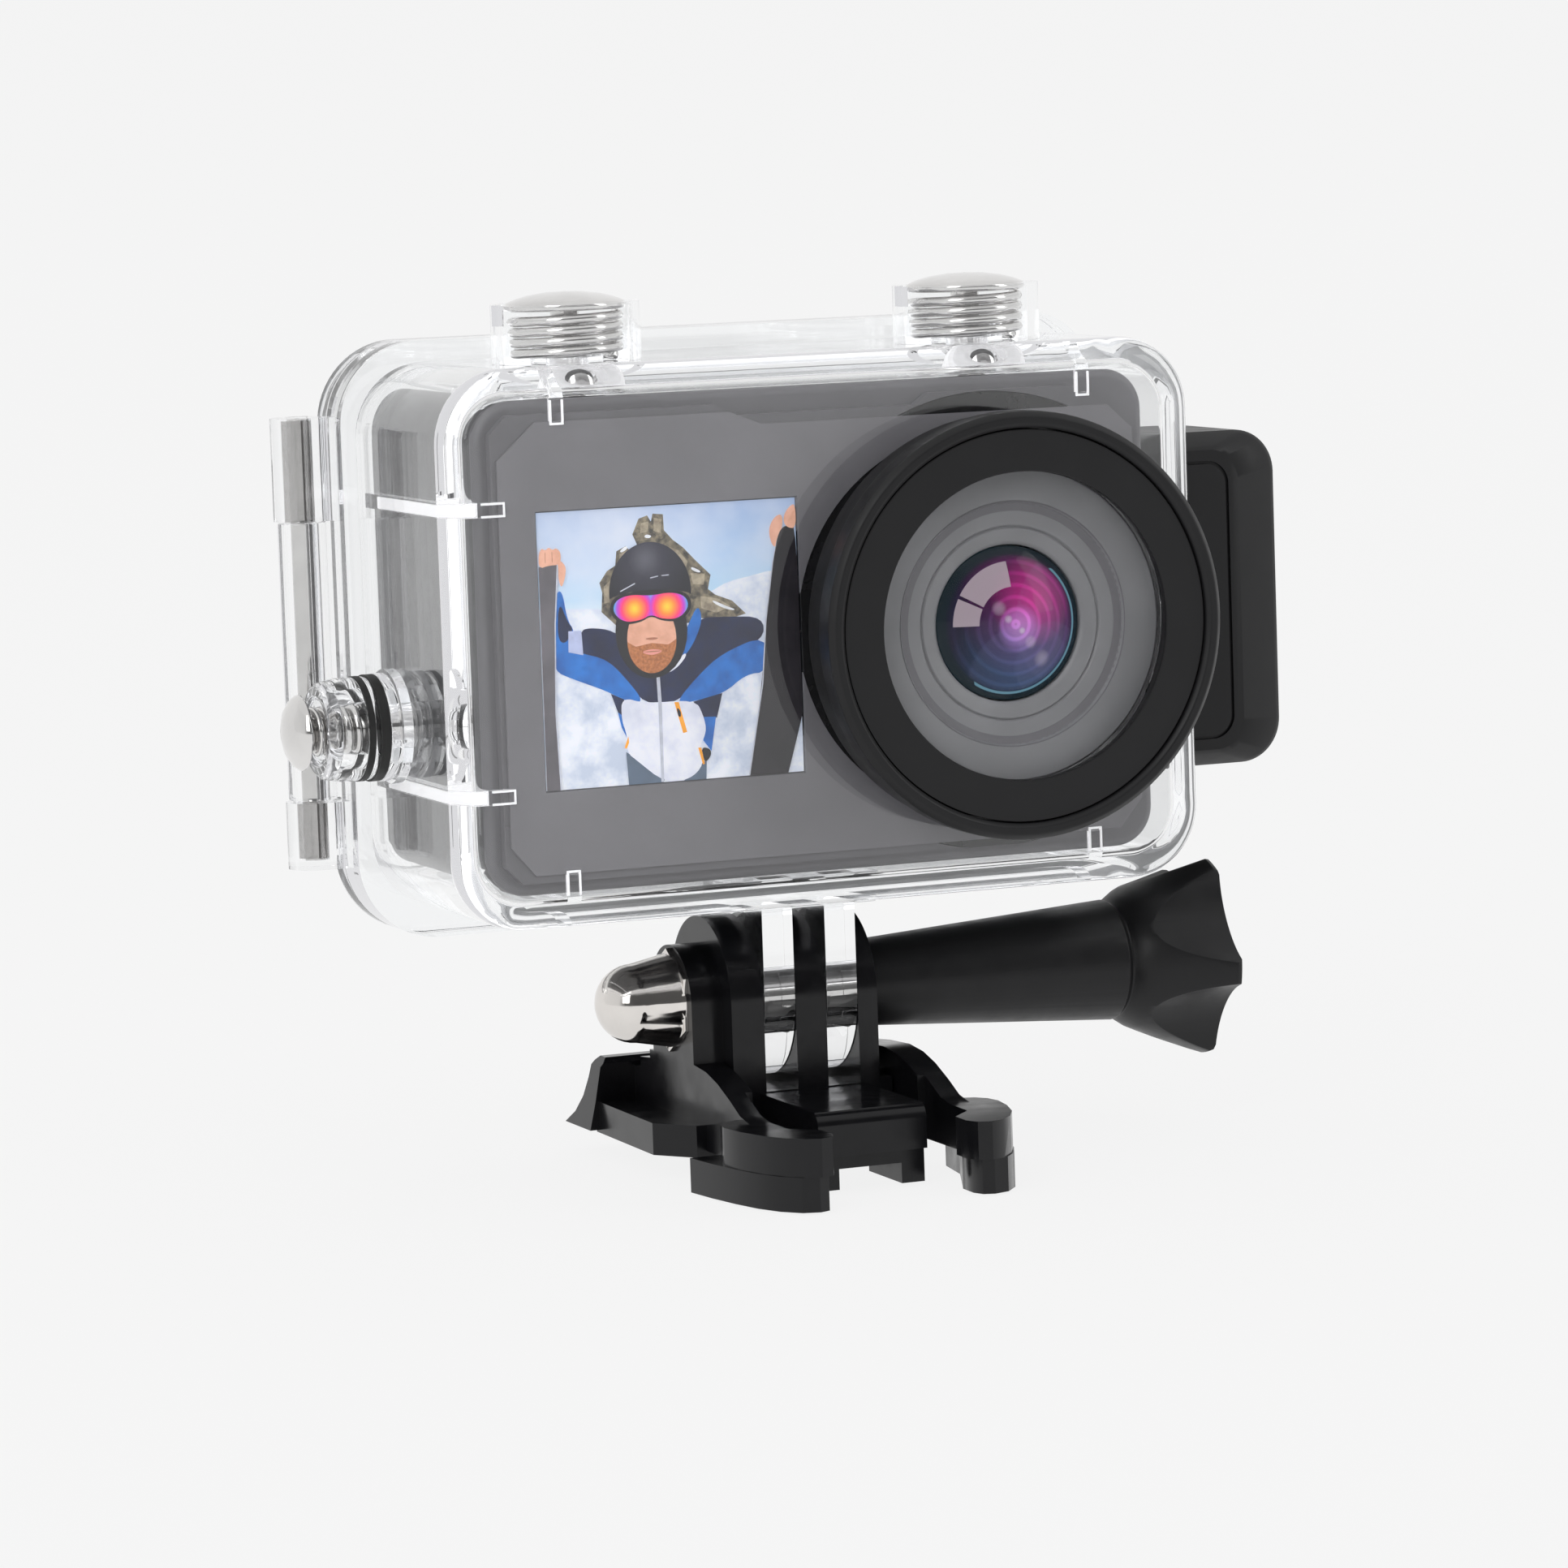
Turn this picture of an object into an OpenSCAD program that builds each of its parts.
// Action camera in a clear dive housing, on a quick-release buckle.
// X runs across the camera, Y from the lens to the rear door, Z up.
// The origin is on the buckle's underside, in the middle of the housing's width.

/* [Clear housing] */
// Width of the housing's front shell
shell_w = 71.6; // [71.2:0.1:74]
// Height of the housing's front shell
shell_h = 49; // [48.6:0.1:52]
// Distance from the origin forward to the front window
shell_front = 12.5; // [12.5:0.1:13]
// Corner radius of the front shell
shell_corner = 6.5; // [5:0.1:8]
// Rounding along the front edges
shell_edge = 2.6; // [1.8:0.1:3]
// Wall thickness
wall = 2.2; // [2:0.1:2.2]
// Height of the housing's underside above the mounting face
shell_bottom = 24.8; // [24.8:0.1:26]

/* [Camera] */
// Width of the camera body
cam_w = 64.1; // [62:0.1:64.4]
// Height of the camera body
cam_h = 43.3; // [42:0.1:43.4]
// Corner radius of the camera body
cam_corner = 3.6; // [3:0.1:4.5]
// Side of the square front screen
screen_size = 24.4; // [20:0.1:24.4]

/* [Lens port] */
// Distance of the lens axis to the right of the middle
port_x = 15.9; // [15:0.1:16]
// Outer radius of the port's retaining ring
ring_r = 19; // [18.6:0.1:19.2]
// Radius of the clear opening
window_r = 13.65; // [12:0.05:13.7]

/* [Buttons] */
// Radius of the steel button heads on the top
head_r = 5.3; // [4.8:0.1:5.4]

/* [Mount] */
// Height of the tilt axis above the mounting face
tilt_z = 15.4; // [15.4:0.1:16]
// Radius of the mounting prongs
prong_r = 7.5; // [7:0.1:7.6]
// Radius of the M5 clamp bolt
bolt_r = 2.5; // [2.4:0.05:2.5]

/* [Hidden] */
$fn = 64;
eps = 0.01;

// running gap between a shaft and its hole
run = 0.05;

// front shell, from its front face to the rear flange
shell_y0 = -shell_front;
flange_y0 = 11.2;
flange_y1 = 15.2;
shell_z = shell_bottom + shell_h / 2;
shell_top = shell_bottom + shell_h;
shell_x = shell_w / 2;
flange_w = shell_w + 2.8;
flange_h = shell_h + 4.8;
flange_z = shell_z - 0.5;
flange_corner = shell_corner + 1;
cavity_w = shell_w - 2 * wall - 0.4;
cavity_h = shell_h - 2 * wall;
cavity_y0 = shell_y0 + wall + 0.1;

// lens port
port_z = shell_z - 0.2;
tube_r = 16.2;
tube_bore = 14.4;
tube_y = -15.5;
barrel_r = 18.5;
ring_bore = 17.5;
ring_y = -18.9;
band_y = -18.4;

// camera, from the raised face plate to the back
face_y = -9.6;
cover_y = -8.6;
frame_y0 = -7.6;
frame_y1 = 9.6;
cam_back = 13.6;
cam_x = cam_w / 2;
cam_top = shell_z + cam_h / 2 - 0.05;
cam_low = cam_top - cam_h;
cam_z = cam_top - cam_h / 2;
plate_inset = 1.2;
screen_x = -26.9 + screen_size / 2;
screen_z = shell_z - 0.3;
surround_r = 20.5;
bezel_r = 14.2;
lens_r = 6.85;

// top buttons: left to right positions and common heights
button_y = -3.8;
shutter_x = -21;
power_x = 17.4;
boss_r = 6.6;
boss_top = shell_top + 5.2;
collar_r = 3.3;
rod_r = 1.25;
seal_bore = 2.35;
head_z = shell_top + 4.6;
rod_end = cam_top + 0.3;
clip_r = 2.8;
clip_pocket = shell_top - 1.3;
key_r = 3;
key_proud = 0.25;

// side button on the left wall
side_y = 3.5;
side_z = shell_z - 7.2;
side_tip = -shell_x - 10.4;
bushing_r = 4.6;
bushing_x = -shell_x - 7.4;
well_r = 2.35;
well_x = bushing_x + 5;
groove_x = bushing_x + 4.1;
gasket_x = bushing_x + 4.6;
gasket_x1 = bushing_x + 5.5;
seat_x = -shell_x - 0.92;
side_clip_x = -33.35;
side_clip_r = 2.4;
neck_r = 0.9;

// hinge of the rear door on the left
hinge_x = -shell_x - 4.1;
hinge_y = flange_y1 + 0.05;
hinge_r = 2.5;
hinge_pin_r = 1;
knuckle_gap = 0.15;
knuckle_low = shell_z - 20.7;
knuckle_a = shell_z - 14.5;
knuckle_b = shell_z + 10.5;
knuckle_high = shell_z + 19.9;

// rear door
door_y0 = flange_y1 + 0.15;
door_y1 = 18;
door_back = 19.2;

// latch on the right
latch_x0 = shell_x + 0.4;
latch_x1 = shell_x + 14.6;
latch_y0 = -0.6;
latch_y1 = 15;
latch_z0 = shell_z - 16.2;
latch_z1 = shell_z + 14.8;
latch_mid = (latch_z0 + latch_z1) / 2;
latch_h = latch_z1 - latch_z0;
latch_corner = 4;
latch_pin_x = shell_x + 4.3;
latch_pin_y = 16;
latch_pin_r = 0.9;
latch_lug = 8.6;

// tilt mount: three prongs on the buckle, two on the housing
tilt_y = 3.5;
prong_t = 2.95;
prong_x = 3.03;
gap_half = 1.55;
boss_x = -10.6;
knob_x = 6.6;
nut_x = -11;
nut_r = 3.6;
hex_r = 4.75;

// buckle: heights of the rails, deck, arms and feet
rail_low = 2.1;
rail_high = 5;
deck_z = 7.3;
arm_z = 10.1;
foot_low = 3.1;
foot_high = 6.5;
tab_y = 13.5;
tab_z = 9;

// ---------- shared shapes ----------

// rectangle with round corners, about the origin
module round_rect(w, h, r) {
    square([w - 2 * r, h], center = true);
    square([w, h - 2 * r], center = true);
    for (sx = [-1, 1], sy = [-1, 1])
        translate([sx * (w / 2 - r), sy * (h / 2 - r)]) circle(r);
}

// upright slab with round corners, from y0 to y1
module slab(w, h, y0, y1, r, x = 0, z = shell_z) {
    translate([x, y1, z]) rotate([90, 0, 0]) linear_extrude(y1 - y0) round_rect(w, h, r);
}

// box given by its low and high corners
module block(low, high) {
    translate(low) cube(high - low);
}

// cylinder along Y between y0 and y1
module disc_y(x, z, r, y0, y1) {
    translate([x, y1, z]) rotate([90, 0, 0]) cylinder(r = r, h = y1 - y0);
}

// cylinder along X between x0 and x1
module rod_x(y, z, r, x0, x1) {
    translate([x0, y, z]) rotate([0, 90, 0]) cylinder(r = r, h = x1 - x0);
}

// cylinder along Z between z0 and z1
module rod_z(x, y, r, z0, z1) {
    translate([x, y, z0]) cylinder(r = r, h = z1 - z0);
}

// solid turned about an axis along Y, from a profile of [radius, y] points
module turn_y(x, z) {
    translate([x, 0, z]) rotate([-90, 0, 0]) rotate_extrude() children();
}

// solid turned about an axis along X, from a profile of [radius, x] points
module turn_x(y, z) {
    translate([0, y, z]) rotate([0, 90, 0]) rotate_extrude() children();
}

// profile of a bar of half width a from y0 to y1, its front corner rounded by r
module soft_corner(a, y0, y1, r) {
    translate([0, y0 + r]) square([a, y1 - y0 - r]);
    translate([0, y0]) square([a - r, y1 - y0]);
    translate([a - r, y0 + r]) intersection() {
        circle(r);
        translate([0, -r]) square(r);
    }
}

// block with round corners of radius rc and front edges rounded by rf
module pillow(w, h, y0, y1, rc, rf, x = 0, z = shell_z) {
    translate([x, 0, z]) {
        for (sx = [-1, 1], sz = [-1, 1])
            translate([sx * (w / 2 - rc), 0, sz * (h / 2 - rc)])
                turn_y(0, 0) soft_corner(rc, y0, y1, rf);
        for (s = [0, 1]) mirror([s, 0, 0])
            translate([0, 0, -h / 2 + rc]) linear_extrude(h - 2 * rc)
                soft_corner(w / 2, y0, y1, rf);
        for (s = [0, 1]) mirror([0, 0, s])
            translate([-w / 2 + rc, 0, 0]) rotate([90, 0, 90]) linear_extrude(w - 2 * rc)
                mirror([1, -1]) soft_corner(h / 2, y0, y1, rf);
    }
}

// coil of round wire along Z, as one swept tube
module coil(r, wire, height, turns) {
    rings = round(turns * 20);
    sides = 8;
    rise = (height - 2 * wire) / rings;
    points = [for (i = [0:rings], j = [0:sides - 1])
        let (a = 360 * turns * i / rings, b = 360 * j / sides, d = r + wire * cos(b))
        [d * cos(a), d * sin(a), wire + rise * i + wire * sin(b)]];
    walls = [for (i = [0:rings - 1], j = [0:sides - 1])
        let (k = (j + 1) % sides)
        [i * sides + j, (i + 1) * sides + j, (i + 1) * sides + k, i * sides + k]];
    low_end = [for (j = [0:sides - 1]) j];
    high_end = [for (j = [sides - 1:-1:0]) rings * sides + j];
    polyhedron(points, concat(walls, [low_end], [high_end]), convexity = 10);
}

// rubber ring of round section about Z
module o_ring(r, wire) {
    rotate_extrude() translate([r, 0]) circle(wire);
}

// ---------- clear housing ----------

// boss, collar and clip pocket for one top button
module top_boss_solid(x) {
    rod_z(x, button_y, boss_r, shell_top - 1, boss_top);
}

module top_boss_cuts(x) {
    difference() {
        rod_z(x, button_y, head_r + 0.3, shell_top, boss_top + 1);
        rod_z(x, button_y, collar_r, shell_top - 1, shell_top + 1.7);
    }
    rod_z(x, button_y, seal_bore, shell_top + 0.4, shell_top + 3);
    rod_z(x, button_y, rod_r + run, clip_pocket - 2, shell_top + 2);
    rod_z(x, button_y, clip_r + 0.7, clip_pocket - 2, clip_pocket);
    // thumbnail notch in the rim
    block([x - boss_r - 1, button_y - 0.8, boss_top - 1.8],
        [x - boss_r + 1.6, button_y + 0.8, boss_top + 1]);
}

// locating rib: runs back along the wall and ends in a short toe on the window
module locating_ribs() {
    rib = 1.3;
    toe = 2;
    toe_y = cavity_y0 + 0.45;
    for (x = [-24.8, 25.4], s = [-1, 1]) {
        z0 = s > 0 ? cam_top + 0.15 : cam_low - 0.15;
        z1 = shell_z + s * (cavity_h / 2 + 0.3);
        block([x - rib / 2, cavity_y0 - 0.3, min(z0, z1)], [x + rib / 2, flange_y0, max(z0, z1)]);
        z2 = z0 - s * toe;
        block([x - rib / 2, cavity_y0 - 0.3, min(z1, z2)], [x + rib / 2, toe_y, max(z1, z2)]);
    }
    for (z = [shell_z - 12.6, shell_z + 12.4]) {
        block([-cavity_w / 2 - 0.3, cavity_y0 - 0.3, z - rib / 2], [-cam_x - 0.25, flange_y0, z + rib / 2]);
        block([-cavity_w / 2 - 0.3, cavity_y0 - 0.3, z - rib / 2], [-cam_x + toe, toe_y, z + rib / 2]);
    }
    block([cam_x + 0.25, cavity_y0 - 0.3, latch_mid - 1], [cavity_w / 2 + 0.3, flange_y0, latch_mid + 1]);
}

// clear prong on the housing's underside
module shell_prong(x) {
    rod_x(tilt_y, tilt_z, prong_r, x - prong_t / 2, x + prong_t / 2);
    block([x - prong_t / 2, tilt_y - prong_r, tilt_z],
        [x + prong_t / 2, tilt_y + prong_r, shell_bottom + 1]);
}

// outer knuckle of the door hinge, joined to the flange
module shell_knuckle(z0, z1) {
    rod_z(hinge_x, hinge_y, hinge_r, z0, z1);
    block([hinge_x, hinge_y - hinge_r, z0], [-flange_w / 2 + 1, flange_y1, z1]);
}

module front_shell() {
    color([0.86, 0.9, 0.93, 0.35]) difference() {
        union() {
            pillow(shell_w, shell_h, shell_y0, flange_y0 + 1, shell_corner, shell_edge);
            slab(flange_w, flange_h, flange_y0, flange_y1, flange_corner, z = flange_z);
            disc_y(port_x, port_z, tube_r, tube_y, cavity_y0);
            shell_knuckle(knuckle_low, knuckle_a - knuckle_gap);
            shell_knuckle(knuckle_b + knuckle_gap, knuckle_high);
            for (x = [shutter_x, power_x]) top_boss_solid(x);
            rod_x(side_y, side_z, bushing_r + 0.5, -shell_x - 0.9, -shell_x + 1);
            for (s = [-1, 1]) shell_prong(s * prong_x);
            // pad that the prongs stand on
            block([-6.4, tilt_y - 8, shell_bottom - 0.9], [6.4, flange_y0 + 1, shell_bottom + 1]);
            // ledge that the latch closes over
            block([shell_x - 1, 1, latch_mid - 10], [shell_x + 1.1, 3, latch_mid + 10]);
        }
        difference() {
            pillow(cavity_w, cavity_h, cavity_y0, flange_y1 + 1, shell_corner - wall, 0.6);
            locating_ribs();
        }
        // rebate for the door's gasket
        slab(cavity_w + 3, cavity_h + 3.2, flange_y1 - 0.9, flange_y1 + 1, shell_corner - 0.7);
        disc_y(port_x, port_z, tube_bore, tube_y - 1, cavity_y0 + 1);
        for (x = [shutter_x, power_x]) top_boss_cuts(x);
        rod_x(side_y, side_z, 3.4, -shell_x - 2, -cavity_w / 2 + 1);
        rod_z(hinge_x, hinge_y, hinge_pin_r, knuckle_low + 0.8, knuckle_high + 1);
        rod_x(tilt_y, tilt_z, bolt_r + run, -7, 7);
    }
}

module port_barrel() {
    color([0.09, 0.09, 0.1]) turn_y(port_x, port_z) polygon([
        [tube_r + 0.02, shell_y0], [barrel_r, shell_y0], [barrel_r, -15.4], [ring_bore - 0.1, -16],
        [ring_bore - 0.1, band_y], [window_r, band_y], [window_r, band_y + 0.9],
        [tube_r + 0.02, band_y + 0.9]]);
}

module port_ring() {
    color([0.08, 0.08, 0.09]) turn_y(port_x, port_z) polygon([
        [ring_bore, -16], [ring_r - 0.3, -16], [ring_r, -16.3], [ring_r, ring_y + 0.5],
        [ring_r - 0.5, ring_y], [ring_bore + 0.35, ring_y], [ring_bore, ring_y + 0.35]]);
}

module port_glass() {
    color([0.8, 0.88, 0.9, 0.3]) disc_y(port_x, port_z, tube_r - 0.7, band_y + 0.95, tube_y - 0.35);
}

module port_seal() {
    color([0.12, 0.12, 0.12]) difference() {
        disc_y(port_x, port_z, tube_r, tube_y - 0.34, tube_y);
        disc_y(port_x, port_z, tube_bore + 0.1, tube_y - 1, tube_y + 1);
    }
}

module rear_door() {
    plug_w = cavity_w - 0.5;
    plug_h = cavity_h - 0.5;
    color([0.86, 0.9, 0.93, 0.35]) difference() {
        union() {
            slab(flange_w, flange_h, door_y0, door_y1, flange_corner, z = flange_z);
            mirror([0, 1, 0]) pillow(60, 40, -door_back, -door_y1 + 0.5, 5, 0.9);
            slab(plug_w, plug_h, 14, door_y0 + eps, shell_corner - wall);
            rod_z(hinge_x, hinge_y, hinge_r - 0.3, knuckle_a, knuckle_b);
            block([hinge_x, door_y0, knuckle_a], [-flange_w / 2 + 1, hinge_y + hinge_r - 0.3, knuckle_b]);
            // lug that carries the latch
            rod_z(latch_pin_x, latch_pin_y, 2.3, latch_mid - latch_lug / 2, latch_mid + latch_lug / 2);
            block([flange_w / 2 - 1, door_y0, latch_mid - latch_lug / 2],
                [latch_pin_x, latch_pin_y + 2.3, latch_mid + latch_lug / 2]);
        }
        slab(plug_w - 4, plug_h - 4, 13, door_y0 + 0.4, 3);
        rod_z(hinge_x, hinge_y, hinge_pin_r + run, knuckle_a - 1, knuckle_b + 1);
        rod_z(latch_pin_x, latch_pin_y, latch_pin_r, latch_z0, latch_z1);
    }
}

module door_gasket() {
    color([0.93, 0.93, 0.92]) difference() {
        slab(cavity_w + 2.4, cavity_h + 2.6, flange_y1 - 0.5, door_y0, shell_corner - 1);
        slab(cavity_w - 0.44, cavity_h - 0.44, 13, 17, shell_corner - wall);
    }
}

module door_pads() {
    color([0.15, 0.15, 0.16]) for (sx = [-1, 1], sz = [-1, 1])
        disc_y(sx * 27, shell_z + sz * 16, 2.2, cam_back + 0.05, door_y0 + 0.4);
}

module hinge_pin() {
    color([0.7, 0.7, 0.72]) rod_z(hinge_x, hinge_y, hinge_pin_r, knuckle_low + 0.8, knuckle_high - 0.1);
}

// lever: a bar with sloping edges round its front panel, turning on the pin behind it
module latch_lever() {
    mid_x = (latch_x0 + latch_x1) / 2;
    full_w = latch_x1 - latch_x0;
    panel_w = full_w - 4.6;
    color([0.07, 0.07, 0.08]) difference() {
        union() {
            slab(full_w, latch_h, latch_y0 + 2.6, latch_y1, latch_corner, x = mid_x, z = latch_mid);
            hull() {
                slab(full_w, latch_h, latch_y0 + 2, latch_y0 + 2.7, latch_corner, x = mid_x, z = latch_mid);
                slab(full_w - 0.6, latch_h - 0.6, latch_y0 + 1.5, latch_y0 + 2, latch_corner - 0.3,
                    x = mid_x - 0.3, z = latch_mid);
                slab(panel_w + 0.8, latch_h - 2.4, latch_y0 + 0.3, latch_y0 + 1, latch_corner - 0.8,
                    x = latch_x0 + panel_w / 2 + 0.4, z = latch_mid);
                slab(panel_w, latch_h - 3.2, latch_y0, latch_y0 + 1, latch_corner - 1.2,
                    x = latch_x0 + panel_w / 2, z = latch_mid);
            }
            rod_z(latch_pin_x, latch_pin_y, 2.6, latch_z0 + 2, latch_z1 - 2);
        }
        // fine groove round the panel
        difference() {
            slab(panel_w - 1, latch_h - 5.2, latch_y0 - 1, latch_y0 + 0.3, latch_corner - 1.8,
                x = latch_x0 + panel_w / 2 - 0.5, z = latch_mid);
            slab(panel_w - 1.6, latch_h - 5.8, latch_y0 - 2, latch_y0 + 1, latch_corner - 2.1,
                x = latch_x0 + panel_w / 2 - 0.5, z = latch_mid);
        }
        // room for the door and shell flange, and for the closing ledge
        block([latch_x0 - 1, flange_y0 - 0.3, latch_z0 - 1], [flange_w / 2 + 0.3, 30, latch_z1 + 1]);
        block([latch_x0 - 1, latch_y0 + 1, latch_mid - 10.4], [shell_x + 1.3, 3.4, latch_mid + 10.4]);
        rod_z(latch_pin_x, latch_pin_y, 2.8, latch_mid - latch_lug / 2 - 0.3,
            latch_mid + latch_lug / 2 + 0.3);
        rod_z(latch_pin_x, latch_pin_y, latch_pin_r + run, latch_z0, latch_z1 - 3);
    }
}

module latch_pin() {
    color([0.7, 0.7, 0.72]) rod_z(latch_pin_x, latch_pin_y, latch_pin_r, latch_z0 + 2.1, latch_z1 - 3.2);
}

// ---------- press buttons ----------

// steel head with its rod, for a button on the top
module top_button(x) {
    color([0.75, 0.75, 0.76]) translate([x, button_y, 0]) {
        rotate_extrude() polygon([[0, head_z], [head_r - 0.2, head_z], [head_r, head_z + 0.2],
            [head_r, head_z + 0.55], [head_r - 0.2, head_z + 0.72], [4.3, head_z + 1.04],
            [3.2, head_z + 1.32], [1.7, head_z + 1.53], [0, head_z + 1.6]]);
        difference() {
            translate([0, 0, rod_end]) cylinder(r = rod_r, h = head_z - rod_end + 0.5);
            // groove for the clip
            difference() {
                translate([0, 0, clip_pocket - 0.7]) cylinder(r = rod_r + 1, h = 0.5);
                cylinder(r = neck_r, h = 100);
            }
        }
    }
}

module top_spring(x) {
    color([0.8, 0.8, 0.81]) translate([x, button_y, shell_top + 0.02])
        coil(4.7, 0.42, head_z - shell_top - 0.06, 4);
}

module top_seal(x) {
    color([0.1, 0.1, 0.1]) translate([x, button_y, shell_top + 0.92]) o_ring(1.8, 0.5);
}

module top_clip(x) {
    color([0.6, 0.6, 0.62]) translate([x, button_y, clip_pocket - 0.7]) difference() {
        cylinder(r = clip_r, h = 0.5);
        translate([0, 0, -1]) cylinder(r = neck_r, h = 3);
        translate([0, -0.8, -1]) cube([4, 1.6, 3]);
    }
}

module shutter_button() { top_button(shutter_x); }
module shutter_spring() { top_spring(shutter_x); }
module shutter_seal() { top_seal(shutter_x); }
module shutter_clip() { top_clip(shutter_x); }
module power_button() { top_button(power_x); }
module power_spring() { top_spring(power_x); }
module power_seal() { top_seal(power_x); }
module power_clip() { top_clip(power_x); }

// clear bushing that carries the side button through the wall, with two ring grooves
module side_bushing() {
    color([0.8, 0.85, 0.88, 0.4]) turn_x(side_y, side_z) polygon([
        [well_r, bushing_x + 1.6], [3.1, bushing_x + 1.6], [3.1, bushing_x], [3.9, bushing_x],
        [4.3, bushing_x + 0.5], [bushing_r, bushing_x + 2], [bushing_r, groove_x - 0.6],
        [bushing_r - 0.5, groove_x - 0.6], [bushing_r - 0.5, groove_x], [bushing_r, groove_x],
        [bushing_r, gasket_x], [bushing_r - 0.7, gasket_x], [bushing_r - 0.7, gasket_x1],
        [bushing_r + 0.2, gasket_x1], [bushing_r + 0.2, seat_x], [3.35, seat_x],
        [3.35, -cavity_w / 2 - 0.3], [rod_r + run, -cavity_w / 2 - 0.3],
        [rod_r + run, well_x], [well_r, well_x]]);
}

module side_bushing_gasket() {
    color([0.06, 0.06, 0.06]) turn_x(side_y, side_z)
        translate([bushing_r - 0.68, gasket_x + 0.02]) square([0.83, gasket_x1 - gasket_x - 0.04]);
}

module side_bushing_ring() {
    color([0.06, 0.06, 0.06]) turn_x(side_y, side_z)
        translate([bushing_r - 0.48, groove_x - 0.58]) square([0.55, 0.56]);
}

module side_button() {
    color([0.75, 0.75, 0.76]) {
        turn_x(side_y, side_z) polygon([[0, side_tip], [1.2, side_tip + 0.12], [2.3, side_tip + 0.5],
            [3, side_tip + 0.95], [3.37, side_tip + 1.5], [3.3, side_tip + 1.75], [0, side_tip + 1.9]]);
        difference() {
            rod_x(side_y, side_z, rod_r, side_tip + 1, -cam_x - key_proud - 0.1);
            difference() {
                rod_x(side_y, side_z, rod_r + 1, side_clip_x, side_clip_x + 0.4);
                rod_x(side_y, side_z, neck_r, side_clip_x - 1, side_clip_x + 1);
            }
        }
    }
}

module side_spring() {
    color([0.8, 0.8, 0.81]) translate([side_tip + 1.95, side_y, side_z]) rotate([0, 90, 0])
        coil(1.9, 0.34, well_x - 0.85 - side_tip - 1.95, 5.5);
}

// rubber ring round the side button's rod, at the bottom of the spring well
module side_seal() {
    color([0.1, 0.1, 0.1]) turn_x(side_y, side_z)
        translate([rod_r + run, well_x - 0.7]) square([1, 0.65]);
}

module side_clip() {
    color([0.6, 0.6, 0.62]) difference() {
        rod_x(side_y, side_z, side_clip_r, side_clip_x, side_clip_x + 0.4);
        rod_x(side_y, side_z, neck_r, side_clip_x - 1, side_clip_x + 1);
        block([side_clip_x - 1, side_y - 0.7, side_z], [side_clip_x + 1, side_y + 0.7, side_z + 4]);
    }
}

// ---------- camera ----------

// outline of the raised face plate: its right corners are cut off, its top edge dips in the middle
module plate_outline() {
    x1 = cam_x - plate_inset;
    z1 = cam_h / 2 - plate_inset;
    polygon([[-x1 + 1.6, -z1], [x1 - 4.6, -z1], [x1 - 1.2, -z1 + 2.4], [x1, -z1 + 4.4], [x1, z1 - 6.6],
        [x1 - 1, z1 - 3.6], [x1 - 3.4, z1 - 1.4], [x1 - 6.2, z1], [10.6, z1], [9.2, z1 - 1],
        [-8.4, z1 - 1], [-9.8, z1], [-x1 + 1.6, z1], [-x1, z1 - 1.6], [-x1, -z1 + 1.6]]);
}

module camera_front_cover() {
    seam_z = cam_low + 6.4;
    color([0.5, 0.5, 0.53]) difference() {
        union() {
            pillow(cam_w, cam_h, cover_y, frame_y0, cam_corner, 0.8, z = cam_z);
            translate([0, cover_y + eps, cam_z]) rotate([90, 0, 0])
                linear_extrude(cover_y - face_y) plate_outline();
        }
        disc_y(port_x, port_z, bezel_r + 0.2, face_y - 1, frame_y0 + 1);
        disc_y(port_x, port_z, surround_r, face_y - 1, cover_y);
        block([screen_x - screen_size / 2, face_y - 1, screen_z - screen_size / 2],
            [screen_x + screen_size / 2, cover_y, screen_z + screen_size / 2]);
        // fine joint line across the lower face
        block([-cam_x, face_y - 1, seam_z], [2, face_y + 0.15, seam_z + 0.2]);
        // microphone holes
        for (i = [0:2]) disc_y(-27 + 1.6 * i, cam_low + 3.6, 0.35, face_y - 1, frame_y0 + 1);
    }
}

module lens_surround() {
    color([0.05, 0.05, 0.06]) difference() {
        disc_y(port_x, port_z, surround_r - 0.05, face_y - 0.15, cover_y);
        disc_y(port_x, port_z, bezel_r + 0.2, face_y - 2, cover_y + 1);
        block([-20, face_y - 2, port_z - 30],
            [screen_x + screen_size / 2 + 0.1, cover_y + 1, port_z + 30]);
        difference() {
            block([-20, face_y - 2, -10], [60, cover_y + 1, 100]);
            slab(cam_w - 2.4, cam_h - 2.4, face_y - 3, cover_y + 2, 1, z = cam_z);
        }
    }
}

module camera_frame() {
    color([0.2, 0.2, 0.22]) difference() {
        slab(cam_w, cam_h, frame_y0, frame_y1, cam_corner, z = cam_z);
        slab(cam_w - 2.4, cam_h - 2.4, frame_y0 - 1, frame_y1 + 1, cam_corner - 1.2, z = cam_z);
        for (x = [shutter_x, power_x])
            rod_z(x, button_y, key_r + run, cam_top - 3, cam_top + 1);
        rod_x(side_y, side_z, key_r - 0.6 + run, -cam_x - 1, -cam_x + 3);
        // opening for the battery door
        block([-28.1, -5.1, cam_low - 1], [-1.9, 5.1, cam_low + 2]);
        // card and cable slots in the right wall
        block([cam_x - 3, -2, cam_z - 12], [cam_x + 1, -0.6, cam_z - 1]);
        block([cam_x - 3, -3, cam_z + 3], [cam_x + 1, 0.5, cam_z + 11]);
    }
}

// four posts behind the main board, or the holes in them
module board_posts(y0, r, y1 = 12.6) {
    for (sx = [-1, 1], sz = [-1, 1]) disc_y(sx * 26, cam_z + sz * 15.4, r, y0, y1);
}

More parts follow.
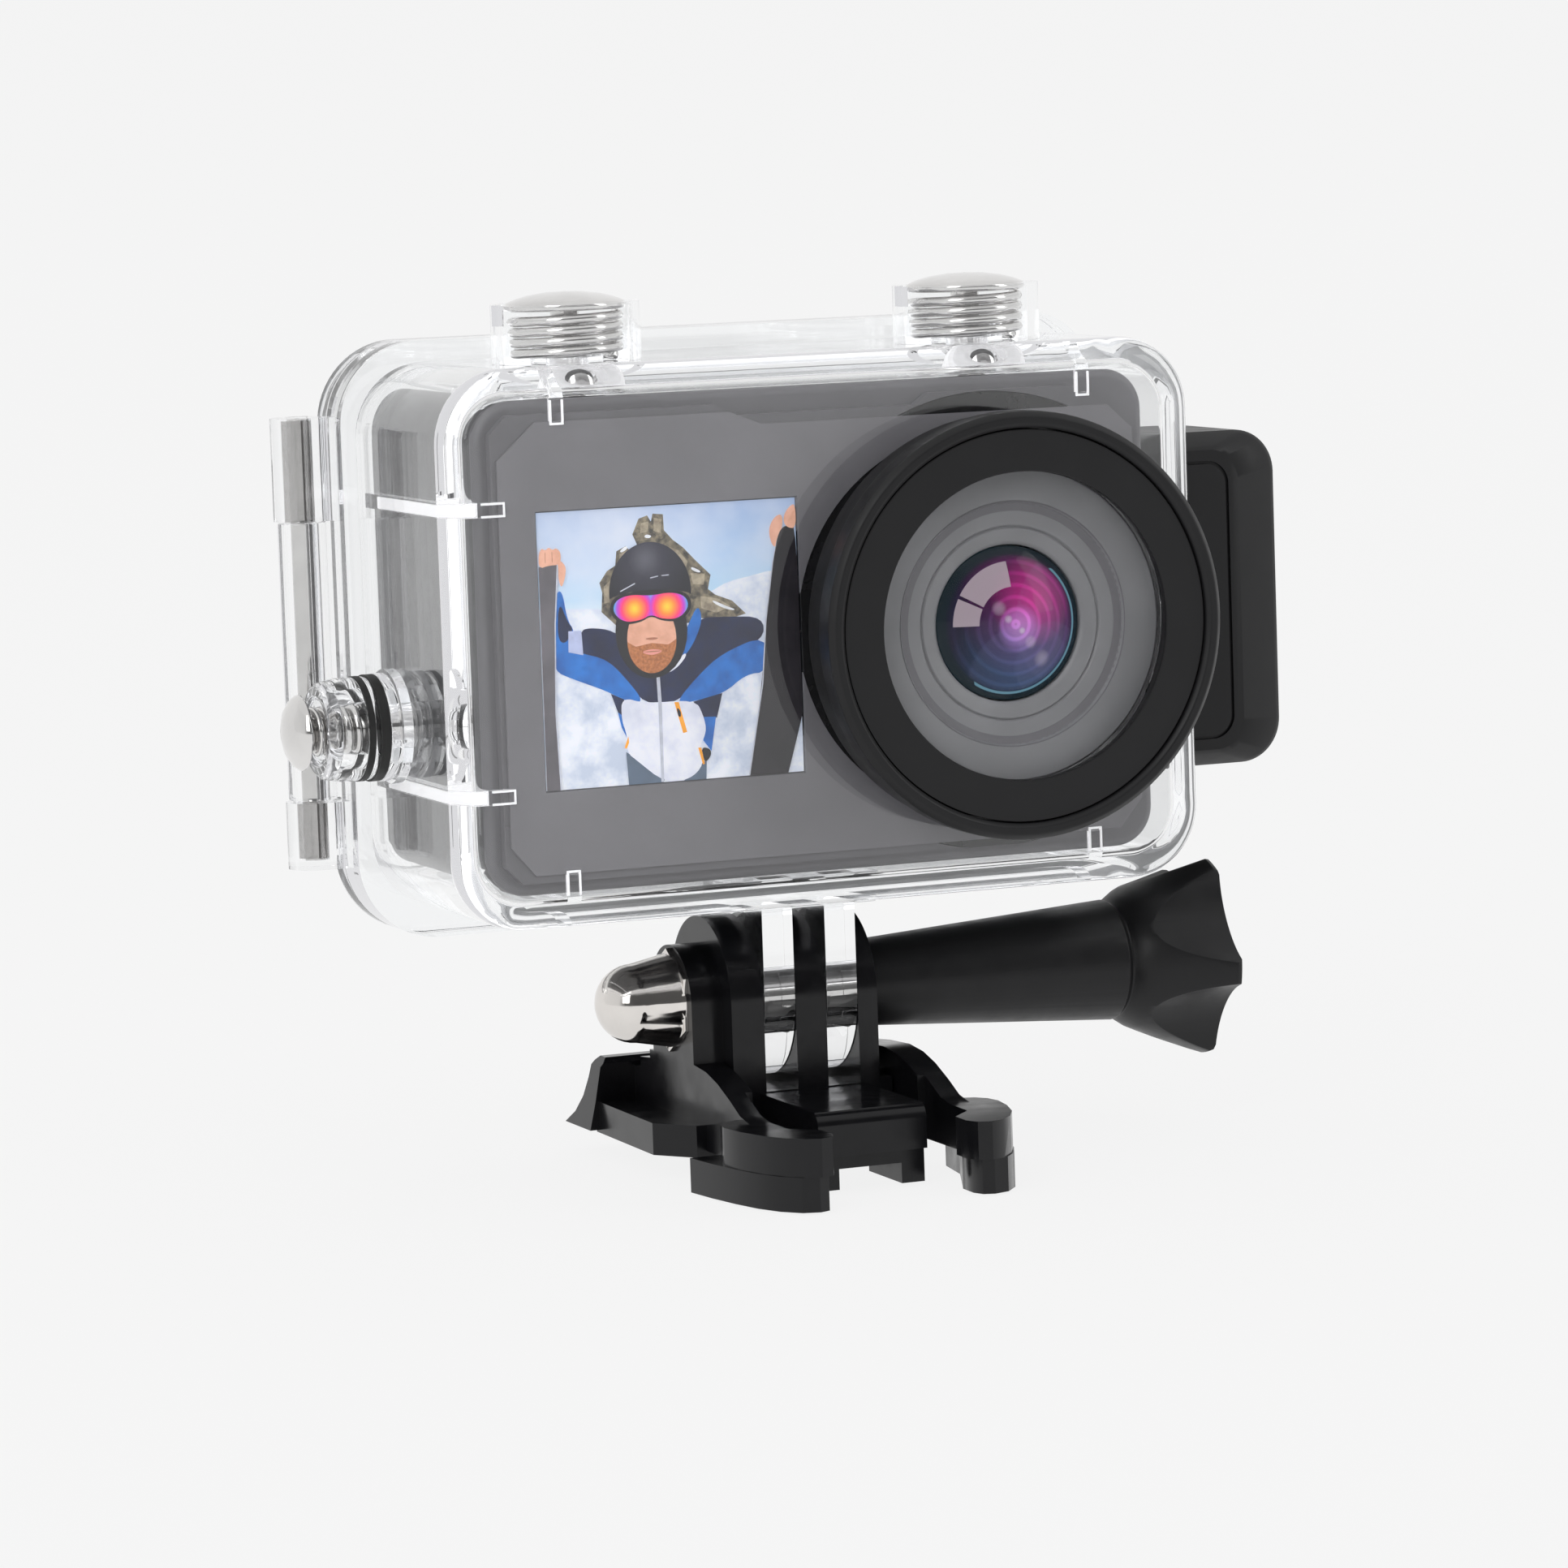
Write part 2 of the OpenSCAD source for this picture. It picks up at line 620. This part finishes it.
module camera_rear_cover() {
    color([0.2, 0.2, 0.22]) difference() {
        mirror([0, 1, 0]) pillow(cam_w, cam_h, -cam_back, -frame_y1, cam_corner, 1, z = cam_z);
        difference() {
            slab(cam_w - 5, cam_h - 5, frame_y1 - 1, cam_back - 1.8, cam_corner - 2, z = cam_z);
            board_posts(frame_y1 - 1, 2);
        }
        board_posts(frame_y1 - 2, 0.7);
        slab(46, 34, cam_back - 0.9, cam_back + 1, 1.5, x = -3, z = cam_z + 1);
        slab(43, 31, cam_back - 3, cam_back, 1, x = -3, z = cam_z + 1);
        for (i = [0:4]) disc_y(25 + (i % 2) * 1.4, cam_z - 6 + 1.6 * i, 0.5, cam_back - 3, cam_back + 1);
    }
}

module front_screen() {
    color([0.55, 0.68, 0.8]) slab(screen_size - 0.1, screen_size - 0.1, face_y + 0.05, cover_y, 0.4,
        x = screen_x, z = screen_z);
}

module rear_screen() {
    color([0.05, 0.05, 0.06]) slab(45.8, 33.8, cam_back - 0.88, cam_back - 0.08, 1.4, x = -3, z = cam_z + 1);
}

module lens_bezel() {
    color([0.52, 0.52, 0.55]) turn_y(port_x, port_z) polygon([
        [bezel_r - 0.1, frame_y0], [bezel_r - 0.1, -15.5], [bezel_r - 0.3, -15.7], [10.9, -15.3],
        [10.7, -14.95], [10.1, -14.9], [8.75, -14.7], [8.6, -14.45], [8.45, -14.7], [7.4, -14.5],
        [lens_r + 0.15, -14.2], [lens_r + 0.15, frame_y0]]);
}

module lens_barrel() {
    color([0.1, 0.1, 0.11]) difference() {
        disc_y(port_x, port_z, lens_r + 0.05, -13.4, -1.8);
        disc_y(port_x, port_z, 5.2, -14, -9.4);
        disc_y(port_x, port_z, 3.3, -14, -1);
    }
}

module lens_front_element() {
    // spherical cap on a short rim
    cap_r = 13.5;
    edge_y = -14;
    sag = cap_r - sqrt(cap_r * cap_r - lens_r * lens_r);
    color([0.35, 0.15, 0.4, 0.6]) turn_y(port_x, port_z) intersection() {
        translate([0, edge_y - sag - 0.01]) square([lens_r, 1.3 + sag - 0.71]);
        translate([0, edge_y - sag + cap_r]) circle(cap_r, $fn = 180);
    }
}

module lens_rear_element() {
    color([0.6, 0.7, 0.8, 0.5]) disc_y(port_x, port_z, 3.25, -6.2, -4.65);
}

module image_sensor() {
    color([0.1, 0.35, 0.2]) {
        slab(13, 13, -1.75, -0.9, 0.5, x = port_x, z = port_z);
    }
    color([0.2, 0.15, 0.3]) slab(5, 4, -2.6, -1.7, 0.1, x = port_x, z = port_z);
}

module main_board() {
    color([0.1, 0.4, 0.22]) difference() {
        slab(58, 36, 8, 9, 1, z = cam_z);
        board_posts(7, 0.75);
    }
    color([0.1, 0.1, 0.1]) slab(12, 12, 6.6, 8 + eps, 0.3, x = 14, z = cam_z + 4);
    color([0.1, 0.1, 0.1]) slab(9, 7, 6.9, 8 + eps, 0.3, x = 2, z = cam_z - 8);
}

module battery() {
    color([0.2, 0.24, 0.3]) slab(26, 33, -5.6, 3, 1.2, x = -15, z = cam_z - 2.5);
}

module battery_door() {
    color([0.2, 0.2, 0.22]) difference() {
        block([-28, -5, cam_low], [-2, 5, cam_low + 1.2]);
        // thumbnail catch
        block([-26, -2, cam_low - 1], [-24.6, 2, cam_low + 0.5]);
    }
}

module memory_card() {
    color([0.12, 0.12, 0.12]) slab(15, 11, 5.6, 6.3, 0.6, x = 22.5, z = cam_z - 10);
}

module speaker() {
    color([0.3, 0.3, 0.3]) disc_y(24, cam_z + 12, 5, -6.2, -2.6);
}

module case_screws() {
    color([0.55, 0.55, 0.56]) {
        board_posts(7.8, 0.7, 11.5);
        board_posts(7, 1.4, 7.95);
    }
}

// round key on the camera's top, under a button rod
module top_key(x) {
    color([0.3, 0.3, 0.32]) {
        rod_z(x, button_y, key_r, cam_top - 1.5, cam_top + key_proud);
        rod_z(x, button_y, key_r + 0.7, cam_top - 2.1, cam_top - 1.3);
    }
}

module shutter_key() { top_key(shutter_x); }
module power_key() { top_key(power_x); }

module side_key() {
    color([0.3, 0.3, 0.32]) {
        rod_x(side_y, side_z, key_r - 0.6, -cam_x - key_proud, -cam_x + 1.5);
        rod_x(side_y, side_z, key_r, -cam_x + 1.3, -cam_x + 2);
    }
}

module key_switches() {
    color([0.75, 0.75, 0.7]) {
        for (x = [shutter_x, power_x])
            block([x - 2.4, button_y - 2.4, cam_top - 4.2], [x + 2.4, button_y + 2.4, cam_top - 2.8]);
        block([-cam_x + 2.7, side_y - 0.4, side_z - 2], [-cam_x + 3.6, side_y + 1.4, side_z + 2]);
    }
}

// ---------- quick-release buckle ----------

// one black prong of the buckle
module buckle_prong(x0, x1) {
    rod_x(tilt_y, tilt_z, prong_r - 0.1, x0, x1);
    block([x0, tilt_y - prong_r + 0.1, deck_z - 1], [x1, tilt_y + prong_r - 0.1, tilt_z]);
}

// side outline of a spring arm as [y, z] points: root, slope to the foot, flat foot
module arm_side() {
    polygon([[12, 2.6], [12, arm_z - 1], [3, arm_z - 0.2], [-1.4, arm_z], [-4.5, 9.8], [-7.2, 9.1],
        [-10, 8], [-12.4, 6.9], [-14.6, foot_high], [-22, foot_high], [-22, 2.6]]);
}

// spring arm on the right, with its two-step foot; its mirror image is on the left
module spring_arm() {
    difference() {
        translate([8, 0, 0]) rotate([90, 0, 90]) linear_extrude(2.6) arm_side();
        // slot that lets the arm bend inwards
        block([7.9, -20, 2], [8.7, -9, 12]);
    }
    translate([0, 0, foot_low - eps]) linear_extrude(foot_high - foot_low + eps)
        polygon([[6.4, -21], [6.35, -23.4], [6.9, -24.7], [8.1, -25.1], [9.4, -24.6], [10.7, -23.2],
            [11.9, -20.9], [12.8, -17.8], [13.2, -15], [12.9, -13.4], [12.1, -12.3], [10.6, -11.6],
            [8.8, -11.6], [8.6, -18.6]]);
    linear_extrude(foot_low)
        polygon([[6.9, -21], [6.85, -23.4], [7.3, -24.5], [8.3, -24.9], [9.8, -24.4], [11.2, -22.7],
            [12.3, -20.2], [13.1, -17], [13.8, -13.2], [14.3, -9.3], [10.4, -9.3], [9.7, -14],
            [8.4, -17.3]]);
}

// rear tab across the whole width, with a hollow back that a thumb pushes against
module rear_tab() {
    difference() {
        translate([-15.2, 0, 0]) rotate([90, 0, 90]) linear_extrude(30.4)
            polygon([[tab_y, 2.4], [tab_y, tab_z - 0.5], [tab_y + 0.5, tab_z], [tab_y + 1.8, tab_z],
                [tab_y + 2.3, tab_z - 0.4], [tab_y + 2.6, 7], [tab_y + 3.3, 5.2], [tab_y + 4.6, 3.6],
                [tab_y + 6.6, 2.4]]);
        for (s = [0, 1]) mirror([s, 0, 0]) translate([0, tab_y - 1, 0]) rotate([-90, 0, 0])
            linear_extrude(10) polygon([[15.3, -2], [14.6, -5], [14, -8.2], [13.2, -9.1], [16, -10]]);
    }
}

module quick_release_buckle() {
    color([0.04, 0.04, 0.045]) difference() {
        union() {
            buckle_prong(-7.7, -4.58);
            buckle_prong(-1.48, 1.48);
            buckle_prong(4.58, knob_x - 0.1);
            // boss round the nut
            rod_x(tilt_y, tilt_z, 5, boss_x, -7.6);
            block([boss_x, tilt_y - 5, deck_z], [-7.6, tilt_y + 5, tilt_z]);
            // root block, deck and tongue
            block([boss_x, -1.4, rail_high - 1], [-boss_x, tab_y + 1, arm_z - 2]);
            block([boss_x, -1.4, arm_z - 3], [-7.6, tilt_y + 6, arm_z]);
            block([-7.7, tilt_y - prong_r + 0.1, rail_low], [7.7, tab_y + 1, deck_z + 0.4]);
            block([-5.2, -16.6, 3.3], [5.2, 0, deck_z]);
            rod_x(-16, deck_z - 1.3, 1.3, -5.2, 5.2);
            block([-5.2, -17.3, 3.3], [5.2, -16, deck_z - 1.3]);
            block([-5.2, -16.5, 0.2], [5.2, -9, 3.4]);
            // rails and the block between them
            translate([0, 0, rail_low]) linear_extrude(rail_high - rail_low)
                polygon([[-14.4, -0.5], [-11.6, -4.2], [11.6, -4.2], [14.4, -0.5],
                    [14.2, tab_y + 1], [-14.2, tab_y + 1]]);
            block([-7.4, -4, 0], [7.4, tab_y + 4, rail_low + 0.5]);
            rear_tab();
            for (s = [0, 1]) mirror([s, 0, 0]) spring_arm();
        }
        // slot below the tongue
        block([-3, -18, -1], [3, -8, 2.05]);
        // gaps between the prongs
        for (s = [-1, 1])
            block([s * prong_x - gap_half, tilt_y - 12, tilt_z - prong_r - 0.5],
                [s * prong_x + gap_half, tilt_y + 12, 40]);
        rod_x(tilt_y, tilt_z, bolt_r + run, -30, 20);
        // hexagonal pocket for the nut
        translate([boss_x - 1, tilt_y, tilt_z]) rotate([0, 90, 0])
            cylinder(r = hex_r + 0.04, h = 2.1, $fn = 6);
    }
}

module cap_nut() {
    color([0.8, 0.79, 0.78]) difference() {
        union() {
            translate([nut_x, tilt_y, tilt_z]) rotate([0, 90, 0])
                cylinder(r = hex_r, h = boss_x + 1 - nut_x, $fn = 6);
            turn_x(tilt_y, tilt_z) polygon(concat(
                [[0, nut_x + 0.5], [nut_r + 0.7, nut_x + 0.5], [nut_r + 0.6, nut_x - 0.3]],
                [for (a = [0:9:90]) [nut_r * cos(a), nut_x - 3.3 - 3.5 * sin(a)]]));
        }
        rod_x(tilt_y, tilt_z, bolt_r + run, nut_x - 2.4, nut_x + 5);
    }
}

module thumbscrew_bolt() {
    color([0.7, 0.7, 0.72]) rod_x(tilt_y, tilt_z, bolt_r, nut_x - 2, knob_x + 14);
}

// knob: a tapered sleeve that opens into a bell with five finger scallops
module thumbscrew_knob() {
    lobes = 5;
    bell_x = 42.5;
    scallop_r = 8;
    color([0.05, 0.05, 0.055]) difference() {
        turn_x(tilt_y, tilt_z) polygon([[0, knob_x], [3.7, knob_x], [3.9, knob_x + 0.3],
            [5.6, 32.7], [5.3, 33.1], [5.3, 33.3], [5.9, 33.8], [6.5, 34.7], [7, 35.8], [7.6, 37.2],
            [8.3, 38.9], [9, 40.6], [9.5, bell_x - 0.6], [9.4, bell_x - 0.2], [9, bell_x],
            [0, bell_x + 0.6]]);
        for (i = [0:lobes - 1]) translate([0, tilt_y, tilt_z]) rotate([360 * i / lobes + 60, 0, 0])
            translate([33, 0, 14.7]) rotate([0, 90, 0]) cylinder(r = scallop_r, h = 15);
        rod_x(tilt_y, tilt_z, bolt_r, 0, knob_x + 14);
    }
}

front_shell();
port_barrel();
port_ring();
port_glass();
port_seal();
rear_door();
door_gasket();
door_pads();
hinge_pin();
latch_lever();
latch_pin();
shutter_button();
shutter_spring();
shutter_seal();
shutter_clip();
power_button();
power_spring();
power_seal();
power_clip();
side_button();
side_spring();
side_seal();
side_clip();
side_bushing();
side_bushing_gasket();
side_bushing_ring();
camera_front_cover();
lens_surround();
camera_frame();
camera_rear_cover();
front_screen();
rear_screen();
lens_bezel();
lens_barrel();
lens_front_element();
lens_rear_element();
image_sensor();
main_board();
battery();
battery_door();
memory_card();
speaker();
case_screws();
shutter_key();
power_key();
side_key();
key_switches();
quick_release_buckle();
cap_nut();
thumbscrew_bolt();
thumbscrew_knob();
